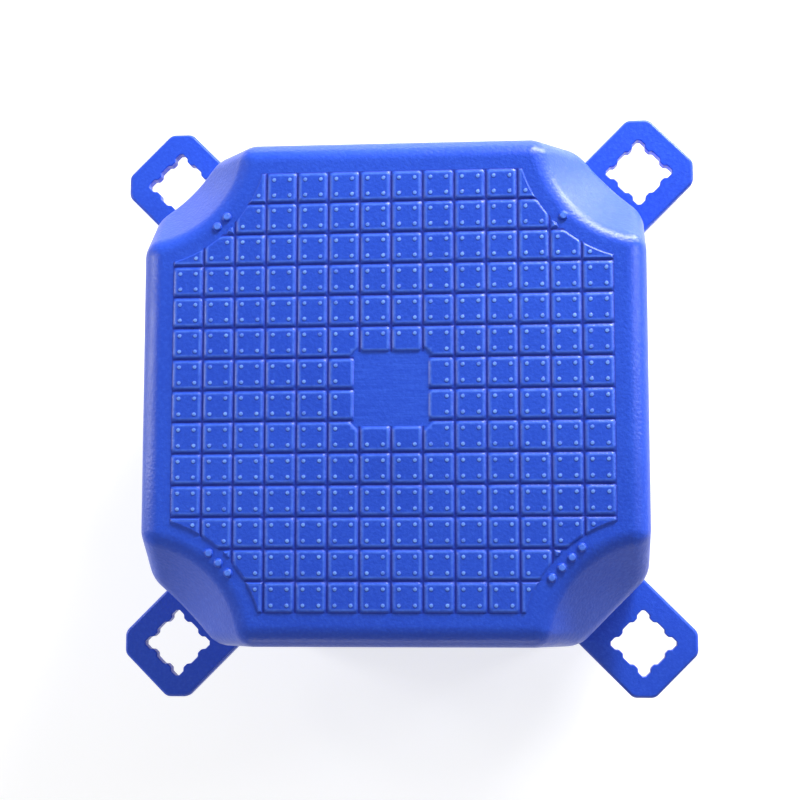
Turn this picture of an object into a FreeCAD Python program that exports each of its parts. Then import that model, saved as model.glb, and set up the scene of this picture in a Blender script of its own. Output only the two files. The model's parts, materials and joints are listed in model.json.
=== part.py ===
"""Floating dock cube: a hollow blow-moulded float, pinned to its neighbours at four staggered lugs.

Millimetres, +Z up. The origin is under the middle of the cube, on the plane that it rests on.
Corners are numbered 1 to 4 anticlockwise from the +X +Y one, and carry that many raised marks.
"""
import FreeCAD, Part
import math
import os

Vector = FreeCAD.Vector
UP = Vector(0, 0, 1)

# Raft grid and body
PIN_PITCH = 500.0            # between the pin axes at neighbouring corners
JOINT_GAP = 4.0              # open water between two cubes that are pinned side by side
HEIGHT = 400.0               # resting plane to the top of the corner marks
WALL = 6.0                   # blow-moulded skin
EDGE_RADIUS = 22.0           # rounding of the deck and seat edges
FLOOR_CHAMFER = 7.6          # along the floor and relief edges
SIDE_RADIUS = 32.0           # upright rounding between a side and a corner face
CORNER_SETBACK = 51.5        # pin axis to the flat corner face
CORNER_COUNT = 4

# Conical seat for the pin's head at each deck corner, and the plainer relief below
SEAT_RADIUS = 106.0          # at the deck plane
SEAT_DEPTH = 72.0            # deck plane to where the cone runs out in the corner face
RELIEF_RADIUS = 90.0         # at the floor plane
RELIEF_DEPTH = 46.0

# Lugs, one to a corner, each a step lower than the one before
LUG_REACH = 48.5             # pin axis to the outer end
LUG_WIDTH = 98.0
LUG_THICKNESS = 15.2
LUG_STEP = 16.0
LUG_CORNER_CUT = 16.5
LUG_CORNER_RADIUS = 11.0
LUG_CHAMFER = 2.2
LUG_ROOT = 34.0              # how far a lug runs in behind the corner face, before the cavity trims it

# Keyed hole in each lug: a square with two teeth on every side
KEY_SIZE = 52.0
KEY_CORNER_CUT = 2.6
TOOTH_HEIGHT = 2.8
TOOTH_WIDTH = 5.6            # at the tip
TOOTH_FLANK = 2.8            # how much wider a tooth is at its foot, on each side
TOOTH_SPACING = 22.0

# Tread of raised tiles on the deck
TREAD_COUNT = 14
TREAD_PITCH = 30.8
TREAD_GROOVE = 4.0           # between the feet of two tiles
TREAD_HEIGHT = 2.0
TREAD_DRAFT = 1.1            # how far a tile's top is set in from its foot
TREAD_SEAT_RADIUS = 128.0    # no tile comes nearer to a pin axis than this
PANEL_SIZE = 75.0            # plain square in the middle of the deck
PANEL_CORNER_CUT = 2.8
SMALLEST_TILE = 8.0          # cubic millimetres; a smaller scrap of a tile is left off

# Raised corner marks, in a row across the diagonal
MARK_DISTANCE = 117.0        # pin axis to the row
MARK_SPACING = 13.5
MARK_DIAMETER = 9.0
MARK_HEIGHT = 2.6
MARK_FOOT = 2.0              # how far a mark runs down into the deck, whose edge rounding starts beside it

# Parting line, which climbs along each side from one lug's middle to the next
SEAM_PROUD = 0.8
SEAM_WIDTH = 2.4
SEAM_LAP = 3.0               # how far it runs on into a lug

# Recess in the floor, which leaves a rim to stand on
RECESS_RIM = 52.0            # side face to the foot of the recess
RECESS_DEPTH = 6.0
RECESS_DRAFT = 8.0
RECESS_RADIUS = 30.0

# Vent bung in the -Y side, screwed down on a flat seal in a round pocket
BUNG_HEIGHT = 306.0          # resting plane to the bung's axis
FLANGE_DIAMETER = 48.0
FLANGE_THICKNESS = 5.0
FLANGE_CHAMFER = 1.2
SHANK_DIAMETER = 34.0
SHANK_LENGTH = 22.0
SHANK_CLEARANCE = 0.4        # all round, to the bore and the seal
SOCKET_SIZE = 19.0           # across the flats of the hexagon
SOCKET_DEPTH = 9.0
SEAL_THICKNESS = 2.5
SEAL_MARGIN = 2.0            # flange's edge to the seal's edge
POCKET_CLEARANCE = 3.0       # flange to pocket wall
POCKET_MARGIN = 1.0          # side face down to the flange's outer face
POCKET_DRAFT = 2.5

# Worked out from the values above
SIDE_HALF = (PIN_PITCH - JOINT_GAP) / 2
PIN_DISTANCE = PIN_PITCH / math.sqrt(2)
DECK_Z = HEIGHT - MARK_HEIGHT
POCKET_DEPTH = POCKET_MARGIN + FLANGE_THICKNESS + SEAL_THICKNESS
SEAL_DIAMETER = FLANGE_DIAMETER - 2 * SEAL_MARGIN
BORE_DIAMETER = SHANK_DIAMETER + 2 * SHANK_CLEARANCE


def rounded_loop(corners, z):
    """Closed wire at a height through (x, y, radius) corners, each rounded by its own radius."""
    points = [Vector(x, y, z) for x, y, _ in corners]
    arcs = []
    for index, (_, _, radius) in enumerate(corners):
        here = points[index]
        back = (points[index - 1] - here).normalize()
        ahead = (points[(index + 1) % len(points)] - here).normalize()
        half_angle = back.getAngle(ahead) / 2
        run = radius / math.tan(half_angle)
        lift = radius / math.sin(half_angle) - radius
        arcs.append((here + back * run, here + (back + ahead).normalize() * lift, here + ahead * run))
    edges = []
    for index, (start, middle, end) in enumerate(arcs):
        edges.append(Part.makeLine(arcs[index - 1][2], start))
        edges.append(Part.Arc(start, middle, end).toShape())
    return Part.Wire(edges)


def prism(corners, low, high):
    """Upright solid between two heights on a rounded loop."""
    return Part.Face(rounded_loop(corners, low)).extrude(Vector(0, 0, high - low))


def quarter_turns(points):
    """Outline made of a quarter of it, turned about the origin three times more."""
    outline = []
    for _ in range(4):
        outline += points
        points = [(-y, x) for x, y in points]
    return outline


def bevelled_square(half, cut):
    """Points of a square with bevelled corners, anticlockwise."""
    return quarter_turns([(half, half - cut), (half - cut, half)])


def raised_pad(foot, top):
    """Solid as high as the tread, from an outline on the deck to one with as many points above it."""
    low = [Vector(x, y, DECK_Z) for x, y in foot]
    high = [Vector(x, y, DECK_Z + TREAD_HEIGHT) for x, y in top]
    loops = [low, high]
    for index in range(len(low)):
        loops.append([low[index - 1], low[index], high[index], high[index - 1]])
    faces = [Part.Face(Part.makePolygon(loop + loop[:1])) for loop in loops]
    return Part.makeSolid(Part.makeShell(faces))


def plan_corners(inset, radius):
    """Plan of the body moved in by an inset: a square cut by the flat faces that look at the pins."""
    half = SIDE_HALF - inset
    face_distance = PIN_DISTANCE - CORNER_SETBACK - inset
    return [(x, y, radius) for x, y in bevelled_square(half, 2 * half - face_distance * math.sqrt(2))]


def at_corner(shape, number):
    """Copy of a shape drawn about a pin axis, with the cube towards -X, at a numbered corner."""
    placed = shape.copy()
    placed.translate(Vector(PIN_DISTANCE, 0, 0))
    placed.rotate(Vector(0, 0, 0), UP, 360 / CORNER_COUNT * (number - 0.5))
    return placed


def at_corners(shape):
    """The shape at every corner."""
    return [at_corner(shape, number) for number in range(1, CORNER_COUNT + 1)]


def lug_height(number):
    """Height of the middle of a corner's lug; the four are stacked about the middle of the cube."""
    return HEIGHT / 2 + LUG_STEP * ((CORNER_COUNT + 1) / 2 - number)


def corner_cone(radius, depth, face_z, inward, inset):
    """Cone about a pin axis, `radius` wide at a body face, that meets the corner face at `depth`.

    The inset moves its surface into the body, measured square to the surface.
    """
    slope = (radius - CORNER_SETBACK) / depth
    wide = radius + inset * math.sqrt(1 + slope * slope) + slope * EDGE_RADIUS
    start = Vector(0, 0, face_z - inward * EDGE_RADIUS)
    return Part.makeCone(wide, 0.0, wide / slope, start, Vector(0, 0, inward))


def lies_on(edge, faces):
    """Whether the middle of an edge lies on one of the faces."""
    middle = Part.Vertex(edge.valueAt((edge.FirstParameter + edge.LastParameter) / 2))
    return any(face.distToShape(middle)[0] < 0.01 for face in faces)


def bowl_edges(block, z, bowls):
    """Edges of a block at a height, and the sloping ones where conical bowls open into its sides."""
    cones = [bowl.Faces[0] for bowl in bowls]
    edges = []
    for edge in block.Edges:
        level = edge.BoundBox.ZLength < 0.01
        if level and abs(edge.BoundBox.ZMin - z) < 0.01 or not level and lies_on(edge, cones):
            edges.append(edge)
    return edges


def body_form(inset, ease_deck, ease_floor):
    """Body without lugs, tread or pocket, with its skin moved in by an inset and its edges eased."""
    low, high = inset, DECK_Z - inset
    block = prism(plan_corners(inset, SIDE_RADIUS - inset), low, high)
    seats = at_corners(corner_cone(SEAT_RADIUS, SEAT_DEPTH, DECK_Z, -1, inset))
    reliefs = at_corners(corner_cone(RELIEF_RADIUS, RELIEF_DEPTH, 0.0, 1, inset))
    block = block.cut(seats + reliefs)
    block = ease_deck(block, bowl_edges(block, high, seats))
    block = ease_floor(block, bowl_edges(block, low, reliefs))
    return block.cut(floor_recess(inset))


def skin_form():
    """Outside of the body, rounded at the deck and chamfered at the floor."""
    return body_form(0.0, lambda block, edges: block.makeFillet(EDGE_RADIUS, edges),
                     lambda block, edges: block.makeChamfer(FLOOR_CHAMFER, edges))


def cavity_form():
    """Inside of the body; its chamfers keep the wall behind the rounded edges as thick as elsewhere."""
    chamfer = (EDGE_RADIUS - WALL) * (2 - math.sqrt(2))
    return body_form(WALL, lambda block, edges: block.makeChamfer(chamfer, edges),
                     lambda block, edges: block.makeChamfer(chamfer, edges))


def floor_recess(swell):
    """Shallow recess under the floor, swelled by a wall's thickness for the cavity above it."""
    slope = RECESS_DRAFT / RECESS_DEPTH
    depth = RECESS_DEPTH + swell
    foot = RECESS_RIM - swell * math.sqrt(1 + slope * slope)
    top = foot + slope * depth
    loops = [rounded_loop(plan_corners(foot, RECESS_RADIUS + top - foot), 0.0),
             rounded_loop(plan_corners(top, RECESS_RADIUS), depth)]
    return Part.makeLoft(loops, True, True)


def side_pocket(swell):
    """Tapered round pocket for the bung, swelled by a wall's thickness for the cavity behind it."""
    slope = POCKET_DRAFT / POCKET_DEPTH
    depth = POCKET_DEPTH + swell
    mouth = FLANGE_DIAMETER / 2 + POCKET_CLEARANCE + POCKET_DRAFT + swell * math.sqrt(1 + slope * slope)
    return Part.makeCone(mouth, mouth - slope * depth, depth, Vector(0, -SIDE_HALF, BUNG_HEIGHT), Vector(0, 1, 0))


def keyed_hole(low, high):
    """Square hole about a pin axis with two teeth on each side."""
    half = KEY_SIZE / 2
    tip = half - TOOTH_HEIGHT
    foot = TOOTH_WIDTH / 2 + TOOTH_FLANK
    side = [(half, KEY_CORNER_CUT - half)]
    for middle in (-TOOTH_SPACING / 2, TOOTH_SPACING / 2):
        side += [(half, middle - foot), (tip, middle - TOOTH_WIDTH / 2),
                 (tip, middle + TOOTH_WIDTH / 2), (half, middle + foot)]
    side.append((half, half - KEY_CORNER_CUT))
    loop = [Vector(x, y, low) for x, y in quarter_turns(side)]
    return Part.Face(Part.makePolygon(loop + loop[:1])).extrude(Vector(0, 0, high - low))


def lug(number):
    """Flat ring about a corner's pin axis, rooted in the corner face."""
    low = lug_height(number) - LUG_THICKNESS / 2
    high = low + LUG_THICKNESS
    half = LUG_WIDTH / 2
    root = -CORNER_SETBACK - LUG_ROOT
    outline = [(root, -half), (LUG_REACH - LUG_CORNER_CUT, -half), (LUG_REACH, -half + LUG_CORNER_CUT),
               (LUG_REACH, half - LUG_CORNER_CUT), (LUG_REACH - LUG_CORNER_CUT, half), (root, half)]
    plate = prism([(x, y, LUG_CORNER_RADIUS) for x, y in outline], low, high)
    rim = [edge for edge in plate.Edges if edge.BoundBox.ZLength < 0.01]
    plate = plate.makeChamfer(LUG_CHAMFER, rim)
    return at_corner(plate.cut(keyed_hole(low, high)), number)


def corner_marks(number):
    """Row of round bosses that number a corner, on the deck beside its seat."""
    marks = []
    for index in range(number):
        across = MARK_SPACING * (index - (number - 1) / 2)
        foot = Vector(-MARK_DISTANCE, across, DECK_Z - MARK_FOOT)
        boss = Part.makeCylinder(MARK_DIAMETER / 2, MARK_FOOT + MARK_HEIGHT, foot)
        marks.append(at_corner(boss, number))
    return marks


def seam(number):
    """Parting line on the side between a corner and the next, from one lug's middle to the other's."""
    end = SIDE_HALF - LUG_WIDTH / math.sqrt(2) + SEAM_LAP
    start_z, end_z = lug_height(number), lug_height(number % CORNER_COUNT + 1)
    half = SEAM_WIDTH / 2
    back = SIDE_HALF - WALL
    points = [Vector(back, -end, start_z - half), Vector(back, end, end_z - half),
              Vector(back, end, end_z + half), Vector(back, -end, start_z + half)]
    band = Part.Face(Part.makePolygon(points + points[:1])).extrude(Vector(WALL + 2 * SEAM_PROUD, 0, 0))
    band.rotate(Vector(0, 0, 0), UP, 360 / CORNER_COUNT * number)
    skin = prism(plan_corners(-SEAM_PROUD, SIDE_RADIUS + SEAM_PROUD), 0.0, HEIGHT)
    return band.common(skin)


def tread():
    """Raised tiles over the deck, trimmed round the four seats and the plain panel in the middle."""
    foot = (TREAD_PITCH - TREAD_GROOVE) / 2
    top = foot - TREAD_DRAFT
    tile = raised_pad(quarter_turns([(foot, foot)]), quarter_turns([(top, top)]))
    panel = raised_pad(bevelled_square(PANEL_SIZE / 2, PANEL_CORNER_CUT),
                       bevelled_square(PANEL_SIZE / 2 + TREAD_DRAFT, PANEL_CORNER_CUT))
    seat = Part.makeCone(TREAD_SEAT_RADIUS, TREAD_SEAT_RADIUS + TREAD_DRAFT, TREAD_HEIGHT, Vector(0, 0, DECK_Z))
    middle = Vector(TREAD_COUNT - 1, TREAD_COUNT - 1, 0) / 2
    tiles = []
    for row in range(TREAD_COUNT):
        for column in range(TREAD_COUNT):
            raised = tile.copy()
            raised.translate((Vector(column, row, 0) - middle) * TREAD_PITCH)
            tiles.append(raised)
    field = Part.makeCompound(tiles).cut(at_corners(seat) + [panel])
    return [solid for solid in field.Solids if solid.Volume > SMALLEST_TILE]


def float_body():
    """Hollow one-piece moulding with its lugs, tread, corner marks, parting line and bung pocket."""
    numbers = range(1, CORNER_COUNT + 1)
    raised = [lug(number) for number in numbers] + [seam(number) for number in numbers] + tread()
    for number in numbers:
        raised += corner_marks(number)
    skin = skin_form().cut(side_pocket(0.0)).fuse(raised)
    cavity = cavity_form().cut(side_pocket(WALL))
    bore = Part.makeCylinder(BORE_DIAMETER / 2, SIDE_HALF, Vector(0, -SIDE_HALF, BUNG_HEIGHT), Vector(0, 1, 0))
    return skin.cut(cavity).cut(bore)


def bung_disc(diameter, depth, thickness):
    """Round disc on the bung's axis, from a depth below the side face inwards."""
    start = Vector(0, -SIDE_HALF + depth, BUNG_HEIGHT)
    return Part.makeCylinder(diameter / 2, thickness, start, Vector(0, 1, 0))


def vent_bung():
    """Bung with a flange, a shank and a hexagon socket."""
    flange = bung_disc(FLANGE_DIAMETER, POCKET_MARGIN, FLANGE_THICKNESS)
    flange = flange.makeChamfer(FLANGE_CHAMFER, [edge for edge in flange.Edges
                                                 if edge.BoundBox.YMax < -SIDE_HALF + POCKET_MARGIN + 0.01])
    under = POCKET_MARGIN + FLANGE_THICKNESS
    shank = bung_disc(SHANK_DIAMETER, under, SHANK_LENGTH)
    corner_radius = SOCKET_SIZE / math.sqrt(3)
    points = [Vector(corner_radius * math.sin(math.radians(60 * step)), -SIDE_HALF + POCKET_MARGIN,
                     BUNG_HEIGHT + corner_radius * math.cos(math.radians(60 * step))) for step in range(7)]
    socket = Part.Face(Part.makePolygon(points)).extrude(Vector(0, SOCKET_DEPTH, 0))
    return flange.fuse(shank).cut(socket)


def bung_seal():
    """Flat ring between the bung's flange and the pocket's floor."""
    under = POCKET_MARGIN + FLANGE_THICKNESS
    return bung_disc(SEAL_DIAMETER, under, SEAL_THICKNESS).cut(bung_disc(BORE_DIAMETER, under, SEAL_THICKNESS))


os.makedirs("parts", exist_ok=True)
float_body().exportStep("parts/float_body.step")
vent_bung().exportStep("parts/vent_bung.step")
bung_seal().exportStep("parts/bung_seal.step")
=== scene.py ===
"""Looks of the floating dock cube: satin blow-moulded polyethylene under soft studio light. Metres."""

import functools
import json
import math

import bmesh
import bpy
from mathutils import Matrix, Vector
from mathutils.geometry import intersect_point_line


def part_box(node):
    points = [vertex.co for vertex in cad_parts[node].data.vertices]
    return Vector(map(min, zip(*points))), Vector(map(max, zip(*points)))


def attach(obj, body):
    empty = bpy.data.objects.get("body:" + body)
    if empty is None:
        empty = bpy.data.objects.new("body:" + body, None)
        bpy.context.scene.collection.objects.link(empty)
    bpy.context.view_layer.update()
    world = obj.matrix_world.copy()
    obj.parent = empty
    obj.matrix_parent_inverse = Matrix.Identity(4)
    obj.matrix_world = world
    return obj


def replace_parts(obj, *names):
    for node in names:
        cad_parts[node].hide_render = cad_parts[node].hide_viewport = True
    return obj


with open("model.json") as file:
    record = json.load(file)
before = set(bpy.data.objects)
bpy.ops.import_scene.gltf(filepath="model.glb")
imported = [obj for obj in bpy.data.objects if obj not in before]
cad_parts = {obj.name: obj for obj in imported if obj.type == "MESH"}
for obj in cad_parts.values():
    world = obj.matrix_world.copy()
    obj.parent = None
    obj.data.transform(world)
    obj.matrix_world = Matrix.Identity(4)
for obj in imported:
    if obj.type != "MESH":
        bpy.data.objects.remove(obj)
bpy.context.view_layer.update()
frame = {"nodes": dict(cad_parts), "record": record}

MOUNTS = {mount["name"]: Vector(mount["pos_m"]) for mount in frame["record"]["mounts"]}
PINS = [point for name, point in MOUNTS.items() if name.startswith("lug_")]
DECK_Z = MOUNTS["deck"].z
BUNG_FACE = abs(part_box("vent_bung")[0].y)   # just inside the plane of the sides

# Mesh clean-up
WELD = 2e-6
FLAT_ANGLE = math.radians(0.4)          # faces that meet at less than this are one flat face
SHARP_ANGLE = math.radians(27)          # the solids' own roundings are made of smaller steps
SHADE_ANGLE = math.radians(38)          # edges sharper than this aren't shaded smooth
LEVEL_MARGIN = 0.0001                   # what lies this far above a level stands on it
LEVEL_NORMAL = 0.999                    # Z of the normal of a level face, at least

# Edge roundings: width and number of steps
MARK_ROUND = (0.0024, 4)
TILE_ROUND = (0.0016, 3)
LUG_ROUND = (0.0011, 2)
FLOOR_ROUND = (0.0030, 3)
SEAM_ROUND = (0.0004, 1)
BUNG_ROUND = (0.0004, 2)
OTHER_ROUND = (0.0008, 2)
TILE_CORNER_ROUND = 0.0030              # in plan
TILE_CORNER_STEPS = 4                   # each small enough not to be sharp itself
CORNER_SHARE = 0.45                     # the most of a tile's shortest side that a corner takes

# Zones that tell which rounding an edge gets
LUG_ZONE = 0.075                        # from a pin axis, takes in the whole free part of a lug
HOLE_ZONE = 0.034                       # from a pin axis, takes in its keyed hole
FLOOR_ZONE = 0.060                      # height that takes in the floor edges and the reliefs
SEAM_MARGIN = 0.0004                    # the parting line stands farther out from BUNG_FACE

# Tread
TREAD_PITCH = 0.0308
TREAD_HALF = 0.2156
TREAD_FROM_PIN = 0.1265
PANEL_HALF = 0.0375
TILE_HEIGHT = 0.0020
TILE_TOP = DECK_Z + TILE_HEIGHT
FOOT_SPREAD = 1.6                       # share of its wall's run by which a tile's foot grows
TOP_SPREAD = 0.7                        # and its top
NOTCH_REACH = 0.0070                    # out from the panel's edge, takes in its corners' notches
NOTCH_GROWTH = 0.0018                   # how much farther out the straight cut lies, along x or y
DOT_PITCH = TREAD_PITCH / 2             # even grid, four dots to a tile
DOT_RADIUS = 0.0026
DOT_MARGIN = 0.0028                     # from a dot's middle to the edge of its tile
DOT_HEIGHT = 0.00058
DOT_SINK = 0.0001
DOT_SIDES = 12
DOT_PROFILE = ((1.0, 0.0), (0.84, 0.22), (0.66, 0.70), (0.40, 0.95))   # share of radius, height

# Colours, linear, with alpha
BLUE = (0.015, 0.072, 0.575, 1.0)
BLUE_DEEP = (0.011, 0.060, 0.525, 1.0)
BLUE_LIGHT = (0.045, 0.140, 0.750, 1.0)
BLUE_PAINTED_SHADE = (0.001, 0.012, 0.250, 1.0)       # painted shade in the grooves and round the feet of dots and marks
BLUE_PAINTED_HIGHLIGHT = (0.100, 0.240, 0.870, 1.0)        # painted highlight on the tile rims and the tops of the marks
BLUE_DOT_HIGHLIGHT = (0.190, 0.380, 0.900, 1.0)      # painted highlight on the dots
BLACK = (0.020, 0.021, 0.024, 1.0)
BLACK_SCUFFED = (0.050, 0.052, 0.056, 1.0)
RUBBER = (0.014, 0.014, 0.014, 1.0)
RUBBER_DUSTY = (0.040, 0.040, 0.038, 1.0)
WHITE = (1.0, 1.0, 1.0, 1.0)
FLOOR_WHITE = (0.93, 0.93, 0.93, 1.0)
FLOOR_SEEN = (0.50, 0.50, 0.50, 1.0)          # where it is seen, under its glow

# Noises: scale, in features to a metre, detail and roughness.
# Patterns: a noise, the range of it that counts, and what that range becomes.
CLOUDS = ((7.0, 4.0, 0.5), (0.35, 0.65), (0.0, 1.0))
SPECKS = ((260.0, 3.0, 0.6), (0.45, 0.75), (0.0, 0.28))
STREAKS = ((420.0, 3.0, 0.7), (0.40, 0.75), (0.0, 1.0))
# patches over which the painted highlights on rims and tips vary
HIGHLIGHT_PATCHES = ((120.0, 3.0, 0.6), (0.30, 0.65), (0.16, 0.48))
SATIN = ((35.0, 4.0, 0.6), (0.30, 0.70), (0.30, 0.38))
SCUFFS = ((160.0, 5.0, 0.7), (0.52, 0.75), (0.0, 1.0))
DUST = ((300.0, 5.0, 0.7), (0.48, 0.80), (0.0, 1.0))

# Bumps: a noise and its height
WAVES = ((6.0, 1.0, 0.5), 0.004)
ORANGE_PEEL = ((330.0, 2.0, 0.5), 0.00034)
FINE_GRAIN = ((900.0, 2.0, 0.5), 0.00005)
BUNG_GRAIN = ((1400.0, 2.0, 0.5), 0.00002)
SEAL_GRAIN = ((900.0, 2.0, 0.5), 0.00003)

# Streaks, painted shade and painted highlights on the deck. Bands are given by where they start, are
# full, fade and end.
EDGE_FADE = 0.0005                      # over which a zone sets in
STREAK_STRETCH = (0.05, 1.0, 1.0)       # draws the streaks out along X
STREAK_FADE = 0.0020                    # in from the panel's edge
STREAK_TINT = 0.35
STREAK_DULLING = 0.08                   # added to the roughness
STREAK_HEIGHT = 0.00005
GROOVE_SHADE_FADE = (0.0004, 0.0018)           # painted shade in the grooves: from the middle of a groove, where it starts and ends
GROOVE_SHADE_IN_PANEL = 0.0010                 # how far the painted shade reaches in from the panel's edge
GROOVE_SHADE_TINT = 0.88
GROOVE_DULLING = 0.25                    # added to the roughness
RIM_BY_GROOVE = (0.0018, 0.0026, 0.0036, 0.0050)    # painted highlight on the tile rims, from the middle of a groove
RIM_BY_PANEL = (-0.0009, 0.0, 0.0012, 0.0026)       # from the panel's edge
RIM_LEVEL = (0.0011, 0.0017)            # above the deck, where the painted highlight on the rims sets in
FOOT_SHADE_BAND = (0.00001, 0.00003, 0.0001, 0.0002)      # painted shade just above the tiles, round the feet of dots and marks
FOOT_SHADE_TINT = 0.6
TIP_LEVEL = (0.0002, 0.0005)            # above the tiles, where the painted highlight on the tips sets in
TIP_HIGHLIGHT = 1.9                          # how many times stronger the painted highlight is on a tip than on a rim

# Gloss
FLOAT_IOR = 1.51
FLOAT_SPECULAR = 0.32
BLACK_IOR = 1.5
FLOOR_ROUGHNESS = 0.9
FLOOR_SPECULAR = 0.1

# Small black pieces: pattern of wear, colour and roughness of clean and worn surface, bumps
HARD_PLASTIC = (SCUFFS, (BLACK, BLACK_SCUFFED), (0.38, 0.55), BUNG_GRAIN)
DULL_RUBBER = (DUST, (RUBBER, RUBBER_DUSTY), (0.62, 0.80), SEAL_GRAIN)

# Camera over the cube, off to the side where the middle of the raft lies
CAMERA_FROM_CENTRE = Vector((0.150, -0.190, 2.00))
CAMERA_AIM = Vector((0.0, 0.0, 0.30))
LENS = 75.5

# Lights: name, place, aim, width, height, watts
LIGHTS = (
    ("key", (0.86, 2.05, 1.28), (0.0, 0.0, 0.36), 0.75, 0.50, 80.0),
    ("back_low", (0.0, 1.9, 0.28), (0.0, 0.0, 0.36), 1.6, 0.35, 9.0),
    ("front_low", (0.0, -2.4, 0.30), (0.0, 0.0, 0.24), 1.6, 0.30, 8.0),
    ("left_strip", (-1.7, 0.35, 1.15), (0.0, 0.05, 0.38), 1.1, 0.30, 13.0),
    ("left_low", (-1.9, 0.15, 0.50), (0.0, 0.05, 0.38), 1.2, 0.35, 7.0),
    ("right_strip", (1.7, 0.45, 1.25), (0.0, 0.0, 0.38), 1.3, 0.30, 12.5),
    ("corner", (1.15, 1.35, 0.50), (0.2, 0.2, 0.36), 0.9, 0.40, 30.0),
)
WORLD_STRENGTH = 0.23                   # as light on a surface; where seen it is 1
FLOOR_GLOW = (0.70, 1.0)                # added where the floor is seen, near and far
FLOOR_FADE = (1.2, 4.5)                 # from the middle, where it starts and stops to grow
FLOOR_SIZE = 14.0


def pin_distance(point):
    """How far a point lies from the nearest pin axis."""
    return min(math.hypot(point.x - pin.x, point.y - pin.y) for pin in PINS)


def edge_rounding(point):
    """Rounding of a sharp edge of the float, by where the edge lies."""
    if point.z > TILE_TOP + LEVEL_MARGIN:
        return MARK_ROUND
    if point.z > DECK_Z + LEVEL_MARGIN:
        return TILE_ROUND
    if point.z < FLOOR_ZONE:
        return FLOOR_ROUND
    if pin_distance(point) < LUG_ZONE:
        return LUG_ROUND
    if max(abs(point.x), abs(point.y)) > BUNG_FACE + SEAM_MARGIN:
        return SEAM_ROUND
    return OTHER_ROUND


def clean_mesh(node):
    """The node's mesh with its split vertices joined and its flat faces whole."""
    mesh = bmesh.new()
    mesh.from_mesh(frame["nodes"][node].data)
    bmesh.ops.remove_doubles(mesh, verts=mesh.verts, dist=WELD)
    bmesh.ops.dissolve_limit(mesh, angle_limit=FLAT_ANGLE, verts=mesh.verts, edges=mesh.edges)
    bmesh.ops.recalc_face_normals(mesh, faces=mesh.faces)
    return mesh


def is_sharp(edge):
    """Whether an edge is one to round: sharp and outward, or any sharp edge of a keyed hole."""
    if len(edge.link_faces) != 2 or edge.calc_face_angle(0.0) < SHARP_ANGLE:
        return False
    middle = (edge.verts[0].co + edge.verts[1].co) / 2
    return edge.is_convex or pin_distance(middle) < HOLE_ZONE


def is_at(vert, level):
    """Whether a vertex lies at a level."""
    return abs(vert.co.z - level) < WELD


def climbs_tile(edge):
    """Whether an edge runs up the wall of a tile, from the deck to the tile's top."""
    low, high = sorted(edge.verts, key=lambda vert: vert.co.z)
    return is_at(low, DECK_Z) and is_at(high, TILE_TOP)


def spread_tiles(mesh):
    """Widens the tiles, most at the foot, so that only a narrow V is left between two."""
    walls = {}
    for edge in sorted(filter(climbs_tile, mesh.edges), key=lambda edge: -edge.calc_length()):
        foot, top = sorted(edge.verts, key=lambda vert: vert.co.z)
        walls[foot] = top               # the shortest edge at a foot counts
    moves = {}
    for foot, top in walls.items():
        run = foot.co - top.co
        run.z = 0.0
        moves[foot] = run * FOOT_SPREAD
        moves[top] = run * TOP_SPREAD
    for vert, move in moves.items():
        vert.co += move


def cut_panel_tiles(mesh):
    """Cuts the tiles at the panel's corners straight, where the solids have a bevelled notch."""
    notch = [vert for vert in mesh.verts
             if all(TREAD_PITCH < abs(part) < PANEL_HALF + NOTCH_REACH for part in vert.co.xy)]
    for level in (DECK_Z, TILE_TOP):
        verts = [vert for vert in notch if is_at(vert, level)]
        if verts:
            line = max(abs(vert.co.x) + abs(vert.co.y) for vert in verts) + NOTCH_GROWTH
            for vert in verts:
                far = 0 if abs(vert.co.x) > abs(vert.co.y) else 1
                vert.co[far] = math.copysign(line - abs(vert.co[1 - far]), vert.co[far])


def bevel(mesh, edges, width, steps):
    """Rounds edges, with less width where there is no room for it."""
    bmesh.ops.bevel(mesh, geom=edges, offset=width, offset_type="OFFSET", segments=steps,
                    profile=0.5, affect="EDGES", clamp_overlap=True)


def round_tile_corners(mesh):
    """Rounds each tile in plan by itself, and a small one by less."""
    tiles = [face for face in mesh.faces if all(is_at(vert, TILE_TOP) for vert in face.verts)]
    work = [([edge for vert in tile.verts for edge in vert.link_edges
              if climbs_tile(edge) and edge.is_convex],
             min(edge.calc_length() for edge in tile.edges)) for tile in tiles]
    for corners, shortest in work:
        bevel(mesh, corners, min(TILE_CORNER_ROUND, shortest * CORNER_SHARE), TILE_CORNER_STEPS)


def number_groups(mesh, layer):
    """Writes one number on all the sharp edges that hang together, and returns the last number."""
    waiting = {edge for edge in mesh.edges if is_sharp(edge)}
    count = 0
    while waiting:
        count += 1
        reached = [waiting.pop()]
        while reached:
            edge = reached.pop()
            edge[layer] = count
            beside = {other for vert in edge.verts for other in vert.link_edges} & waiting
            waiting -= beside
            reached += beside
    return count


def round_edges(mesh, rounding):
    """Rounds each group of sharp edges by itself, so that a small scrap limits only its own."""
    layer = mesh.edges.layers.int.new("group")
    for number in range(1, number_groups(mesh, layer) + 1):
        edges = [edge for edge in mesh.edges if edge[layer] == number]
        ends = (edge.verts[0].co + edge.verts[1].co for edge in edges)
        bevel(mesh, edges, *rounding(max(ends, key=lambda point: point.z) / 2))
    mesh.edges.layers.int.remove(mesh.edges.layers.int["group"])
    bmesh.ops.dissolve_degenerate(mesh, edges=mesh.edges, dist=WELD)


def mesh_data(mesh, name, material):
    """Turns a bmesh into mesh data with a material."""
    data = bpy.data.meshes.new(name)
    mesh.to_mesh(data)
    mesh.free()
    data.materials.append(material)
    return data


def new_object(name, data):
    """Puts an object into the scene."""
    thing = bpy.data.objects.new(name, data)
    bpy.context.scene.collection.objects.link(thing)
    return thing


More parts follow.
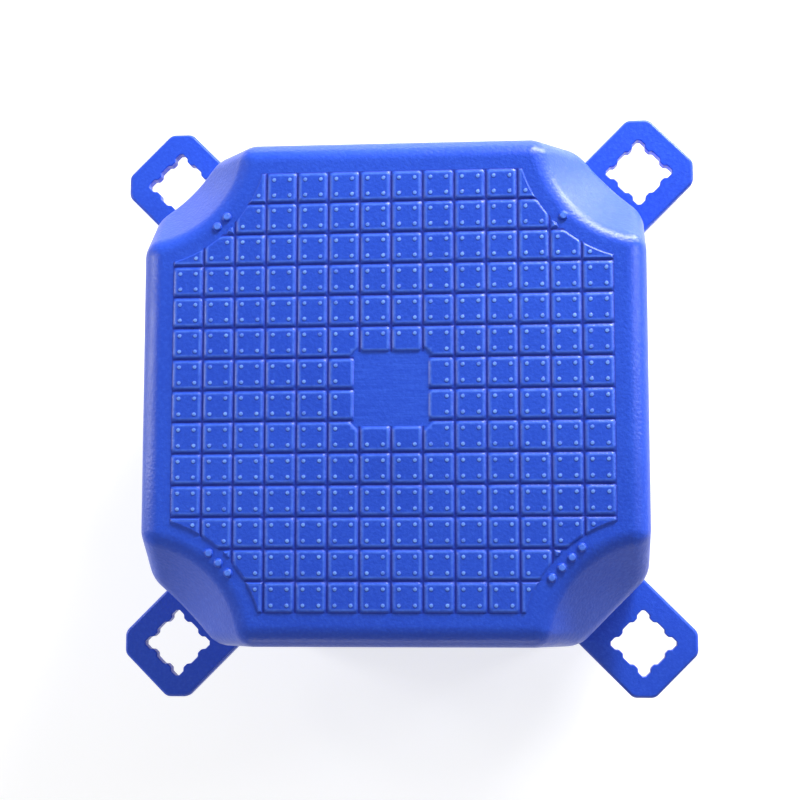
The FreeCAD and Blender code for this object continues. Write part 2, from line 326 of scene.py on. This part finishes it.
def add_piece(mesh, name, material):
    """Makes a bmesh a piece of the cube with smooth shading and even normals."""
    data = mesh_data(mesh, name, material)
    data.shade_smooth()
    data.set_sharp_from_angle(angle=SHADE_ANGLE)
    piece = new_object(name, data)
    normals = piece.modifiers.new("even_normals", "WEIGHTED_NORMAL")
    normals.keep_sharp = True
    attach(piece, "root")
    return piece


def tile_tops(mesh):
    """Outlines of the flat tops of the tiles, as lists of points."""
    return [[vert.co.copy() for vert in face.verts] for face in mesh.faces
            if face.normal.z > LEVEL_NORMAL
            and abs(face.calc_center_median().z - TILE_TOP) < LEVEL_MARGIN]


def lies_within(point, outline, margin):
    """Whether a point lies inside an outline and at least a margin away from it."""
    inside = False
    for index, end in enumerate(outline):
        start = outline[index - 1]
        share = intersect_point_line(point, start, end)[1]
        nearest = start.lerp(end, min(max(share, 0.0), 1.0))
        if (nearest - point).length < margin:
            return False
        if (start.y > point.y) != (end.y > point.y):
            if point.x < start.x + (point.y - start.y) / (end.y - start.y) * (end.x - start.x):
                inside = not inside
    return inside


def dot_lines(values):
    """Lines of the even dot grid that may lie between the least and the greatest of some values."""
    first, last = (round(value / DOT_PITCH) for value in (min(values), max(values)))
    return [(number + 0.5) * DOT_PITCH for number in range(first - 1, last + 1)]


def dot_places(outlines):
    """Points of the even dot grid where a whole dot fits on a tile."""
    places = []
    for outline in outlines:
        grid = (Vector((x, y, outline[0].z)) for x in dot_lines([point.x for point in outline])
                for y in dot_lines([point.y for point in outline]))
        places += [point for point in grid if lies_within(point, outline, DOT_MARGIN)]
    return places


def add_dot(mesh, centre):
    """Adds one low dome, sunk a little into its tile."""
    rings = []
    for radius_share, height_share in ((1.0, -DOT_SINK / DOT_HEIGHT), *DOT_PROFILE):
        ring = []
        for side in range(DOT_SIDES):
            turn = 2 * math.pi * side / DOT_SIDES
            out = Vector((math.cos(turn), math.sin(turn), 0.0)) * DOT_RADIUS * radius_share
            up = Vector((0.0, 0.0, DOT_HEIGHT * height_share))
            ring.append(mesh.verts.new(centre + out + up))
        rings.append(ring)
    top = mesh.verts.new(centre + Vector((0.0, 0.0, DOT_HEIGHT)))
    for side in range(DOT_SIDES):
        after = (side + 1) % DOT_SIDES
        for lower, upper in zip(rings, rings[1:]):
            mesh.faces.new((lower[side], lower[after], upper[after], upper[side]))
        mesh.faces.new((rings[-1][side], rings[-1][after], top))
    mesh.faces.new(tuple(reversed(rings[0])))


class Nodes:
    """The node tree of a material or a world, with short calls for the nodes in it.

    A value is an output of a node, or a plain number or colour.
    """

    def __init__(self, owner, shader):
        self.owner = owner
        owner.use_nodes = True
        self.tree = owner.node_tree
        self.shader = self.tree.nodes[shader]

    @functools.cached_property
    def place(self):
        """Where a point of the surface lies, in the object's own axes."""
        return self.add("ShaderNodeTexCoord").outputs["Object"]

    def feed(self, node, inputs):
        """Gives values to a node's inputs."""
        for key, value in inputs.items():
            if isinstance(value, bpy.types.NodeSocket):
                self.tree.links.new(value, node.inputs[key])
            else:
                node.inputs[key].default_value = value

    def add(self, kind, inputs=None, **settings):
        """Adds a node, sets its properties and feeds its inputs."""
        node = self.tree.nodes.new(kind)
        for key, value in settings.items():
            setattr(node, key, value)
        self.feed(node, inputs or {})
        return node

    def noise(self, scale, detail, roughness, place=None):
        """Noise from 0 to 1 about 0.5, with features of 1/scale metres."""
        return self.add("ShaderNodeTexNoise", {
            "Vector": place or self.place, "Scale": scale, "Detail": detail,
            "Roughness": roughness}).outputs["Fac"]

    def span(self, value, low, high, to_low=0.0, to_high=1.0):
        """Maps a value from one range to another, clamped."""
        return self.add("ShaderNodeMapRange", {
            "Value": value, "From Min": low, "From Max": high,
            "To Min": to_low, "To Max": to_high}, clamp=True).outputs["Result"]

    def pattern(self, kind, place=None):
        """One of the patterns that the head of this file lists."""
        noise, counts, becomes = kind
        return self.span(self.noise(*noise, place), *counts, *becomes)

    def maths(self, operation, first, second=0.0):
        """One sum on one or two values."""
        return self.add("ShaderNodeMath", {0: first, 1: second},
                        operation=operation).outputs["Value"]

    def product(self, first, *others):
        """Multiplies values."""
        for other in others:
            first = self.maths("MULTIPLY", first, other)
        return first

    def rise(self, value, level, starts, ends, most=1.0):
        """Grows from 0 at one distance from a level to the most at another."""
        return self.span(value, level + starts, level + ends, 0.0, most)

    def band(self, value, level, starts, full, fades, ends):
        """1 between two distances from a level, and 0 before and after."""
        return self.product(self.rise(value, level, starts, full),
                            self.rise(value, level, ends, fades))

    def blend(self, share, first, second):
        """Mixes two colours. Its colour sockets are known by number, as the names repeat."""
        return self.add("ShaderNodeMix", {"Factor": share, 6: first, 7: second},
                        data_type="RGBA").outputs[2]

    def bump(self, height, distance, below=None):
        """Adds a layer of bump, in metres, over the one below."""
        node = self.add("ShaderNodeBump", {"Height": height, "Distance": distance})
        if below is not None:
            self.feed(node, {"Normal": below})
        return node.outputs["Normal"]

    def bumps(self, *layers):
        """Lays the bumps that the head of this file lists over each other."""
        normal = None
        for noise, distance in layers:
            normal = self.bump(self.noise(*noise), distance, normal)
        return normal

    def seen_directly(self):
        """1 for what the camera sees, itself or in a reflection, and 0 for light on a surface."""
        paths = self.add("ShaderNodeLightPath").outputs
        mirrored = self.maths("MAXIMUM", paths["Is Glossy Ray"], paths["Is Transmission Ray"])
        return self.maths("MAXIMUM", paths["Is Camera Ray"], mirrored)


def surface(name):
    """Nodes of a new material."""
    return Nodes(bpy.data.materials.new(name), "Principled BSDF")


def panel_streaks(nodes, reach, on_deck):
    """Fine streaks along the plain panel."""
    stretched = nodes.add("ShaderNodeMapping", {"Vector": nodes.place, "Scale": STREAK_STRETCH})
    return nodes.product(nodes.pattern(STREAKS, stretched.outputs["Vector"]),
                         nodes.rise(reach, PANEL_HALF, 0.0, -STREAK_FADE), on_deck)


def tread_zone(nodes, out_x, out_y, reach, on_deck):
    """1 where the tread lies, between the panel, the seats and the outer edge."""
    folded = nodes.add("ShaderNodeCombineXYZ", {"X": out_x, "Y": out_y}).outputs["Vector"]
    pin = (abs(PINS[0].x), abs(PINS[0].y), 0.0)
    from_pin = nodes.add("ShaderNodeVectorMath", {0: folded, 1: pin},
                         operation="DISTANCE").outputs["Value"]
    return nodes.product(nodes.rise(from_pin, TREAD_FROM_PIN, -EDGE_FADE, 0.0),
                         nodes.rise(reach, TREAD_HALF, 0.0, -EDGE_FADE),
                         nodes.rise(reach, PANEL_HALF - GROOVE_SHADE_IN_PANEL, -EDGE_FADE, 0.0),
                         on_deck)


def polyethylene(name, tip_highlight):
    """Satin royal-blue polyethylene: cloudy, with orange peel, streaks on the panel, painted shade in
    the grooves and round the feet of dots and marks, and painted highlights on the rims and tips.

    The tips, which stand above the tiles, get a painted highlight in a colour of their own.
    """
    nodes = surface(name)
    x, y, z = nodes.add("ShaderNodeSeparateXYZ", {"Vector": nodes.place}).outputs
    out_x, out_y = nodes.maths("ABSOLUTE", x), nodes.maths("ABSOLUTE", y)
    reach = nodes.maths("MAXIMUM", out_x, out_y)
    from_groove = nodes.maths("MINIMUM", nodes.maths("PINGPONG", x, TREAD_PITCH / 2),
                              nodes.maths("PINGPONG", y, TREAD_PITCH / 2))
    on_deck = nodes.rise(z, DECK_Z, -2 * EDGE_FADE, -EDGE_FADE)
    on_tread = tread_zone(nodes, out_x, out_y, reach, on_deck)

    streak = panel_streaks(nodes, reach, on_deck)
    # Painted shade in the grooves and along the panel's edge
    groove_shade = nodes.product(nodes.span(from_groove, *GROOVE_SHADE_FADE, 1.0, 0.0), on_tread)
    # Painted highlight on the tile rims and along the panel's edge
    rim_highlight = nodes.maths("MAXIMUM", nodes.band(from_groove, 0.0, *RIM_BY_GROOVE),
                      nodes.band(reach, PANEL_HALF, *RIM_BY_PANEL))
    rim_highlight = nodes.product(rim_highlight, on_tread, nodes.rise(z, DECK_Z, *RIM_LEVEL))
    # Painted shade round the feet of dots and marks
    foot = nodes.band(z, TILE_TOP, *FOOT_SHADE_BAND)
    # Painted highlight on the tops of dots and marks
    tip = nodes.rise(z, TILE_TOP, *TIP_LEVEL, TIP_HIGHLIGHT)
    # Patches over which the painted highlights vary
    wear_and_highlight_patches = nodes.pattern(HIGHLIGHT_PATCHES)

    # Colour layers from the bottom up: the groove and foot layers are painted shade, the rim and tip
    # layers painted highlight
    colour = nodes.blend(nodes.pattern(CLOUDS), BLUE_DEEP, BLUE)
    for tint, *shares in ((BLUE_LIGHT, nodes.pattern(SPECKS)), (BLUE_LIGHT, streak, STREAK_TINT),
                          (BLUE_PAINTED_SHADE, groove_shade, GROOVE_SHADE_TINT), (BLUE_PAINTED_HIGHLIGHT, rim_highlight, wear_and_highlight_patches),
                          (BLUE_PAINTED_SHADE, foot, FOOT_SHADE_TINT), (tip_highlight, tip, wear_and_highlight_patches)):
        colour = nodes.blend(nodes.product(*shares), colour, tint)
    dulling = nodes.maths("MAXIMUM", nodes.product(streak, STREAK_DULLING),
                          nodes.product(groove_shade, GROOVE_DULLING))
    normal = nodes.bumps(WAVES, ORANGE_PEEL, FINE_GRAIN)
    nodes.feed(nodes.shader, {
        "Base Color": colour, "IOR": FLOAT_IOR, "Specular IOR Level": FLOAT_SPECULAR,
        "Roughness": nodes.maths("ADD", nodes.pattern(SATIN), dulling),
        "Normal": nodes.bump(streak, STREAK_HEIGHT, normal)})
    return nodes.owner


def black(name, wear_and_highlight_patches, colours, roughness, grain):
    """Black plastic or rubber, paler and duller where it is worn."""
    nodes = surface(name)
    worn = nodes.pattern(wear_and_highlight_patches)
    nodes.feed(nodes.shader, {
        "Base Color": nodes.blend(worn, *colours), "IOR": BLACK_IOR,
        "Roughness": nodes.span(worn, 0.0, 1.0, *roughness), "Normal": nodes.bumps(grain)})
    return nodes.owner


def build_float():
    """The float with rounded edges, and the dots on its tiles."""
    body = clean_mesh("float_body")
    spread_tiles(body)
    cut_panel_tiles(body)
    dots = bmesh.new()
    for place in dot_places(tile_tops(body)):
        add_dot(dots, place)
    round_tile_corners(body)
    round_edges(body, edge_rounding)
    blue = polyethylene("blue_polyethylene", BLUE_PAINTED_HIGHLIGHT)
    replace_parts(add_piece(body, "float_shell", blue), "float_body")
    # The dots' tops carry a painted highlight
    add_piece(dots, "tread_dots", polyethylene("dot_highlight_polyethylene", BLUE_DOT_HIGHLIGHT))


def build_bung():
    """The vent bung and its seal with eased edges."""
    for node, name, material, slot in (
            ("vent_bung", "vent_bung_cap", black("black_plastic", *HARD_PLASTIC), "bung_plastic"),
            ("bung_seal", "bung_seal_ring", black("black_rubber", *DULL_RUBBER), "seal_rubber")):
        mesh = clean_mesh(node)
        round_edges(mesh, lambda point: BUNG_ROUND)
        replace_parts(add_piece(mesh, name, material), node)


def build_floor():
    """White floor that takes the shadow, lifted to white where it is seen."""
    nodes = surface("white_floor")
    seen = nodes.seen_directly()
    far = nodes.add("ShaderNodeVectorMath", {0: nodes.place}, operation="LENGTH").outputs["Value"]
    glow = nodes.span(far, *FLOOR_FADE, *FLOOR_GLOW)
    nodes.feed(nodes.shader, {
        "Base Color": nodes.blend(seen, FLOOR_WHITE, FLOOR_SEEN), "Roughness": FLOOR_ROUGHNESS,
        "Specular IOR Level": FLOOR_SPECULAR, "Emission Color": WHITE,
        "Emission Strength": nodes.product(seen, glow)})
    mesh = bmesh.new()
    bmesh.ops.create_grid(mesh, x_segments=1, y_segments=1, size=FLOOR_SIZE / 2)
    floor = new_object("floor", mesh_data(mesh, "floor", nodes.owner))


def build_world():
    """Even white surroundings: full white where seen, weaker as light."""
    nodes = Nodes(bpy.data.worlds.new("studio"), "Background")
    strength = nodes.span(nodes.seen_directly(), 0.0, 1.0, WORLD_STRENGTH, 1.0)
    nodes.feed(nodes.shader, {"Color": WHITE, "Strength": strength})
    bpy.context.scene.world = nodes.owner


def aim(thing, place, target):
    """Puts a lamp or the camera at a place, looking at a target, with +Y upwards in view."""
    back = (Vector(place) - Vector(target)).normalized()
    right = Vector((0.0, 1.0, 0.0)).cross(back).normalized()
    turn = Matrix((right, back.cross(right), back)).transposed()
    thing.matrix_world = Matrix.Translation(place) @ turn.to_4x4()


def build_lights():
    """Soft boxes round the cube."""
    for name, place, target, width, height, watts in LIGHTS:
        data = bpy.data.lights.new(name, "AREA")
        data.shape = "RECTANGLE"
        data.size, data.size_y = width, height
        data.energy = watts
        aim(new_object(name, data), place, target)


def build_camera():
    """Camera at the photograph's height and offset, aimed at the cube."""
    data = bpy.data.cameras.new("camera")
    data.lens = LENS
    camera = new_object("camera", data)
    aim(camera, CAMERA_FROM_CENTRE, CAMERA_AIM)
    bpy.context.scene.camera = camera


build_float()
build_bung()
build_floor()
build_world()
build_lights()
build_camera()
bpy.context.scene.view_settings.view_transform = "Standard"
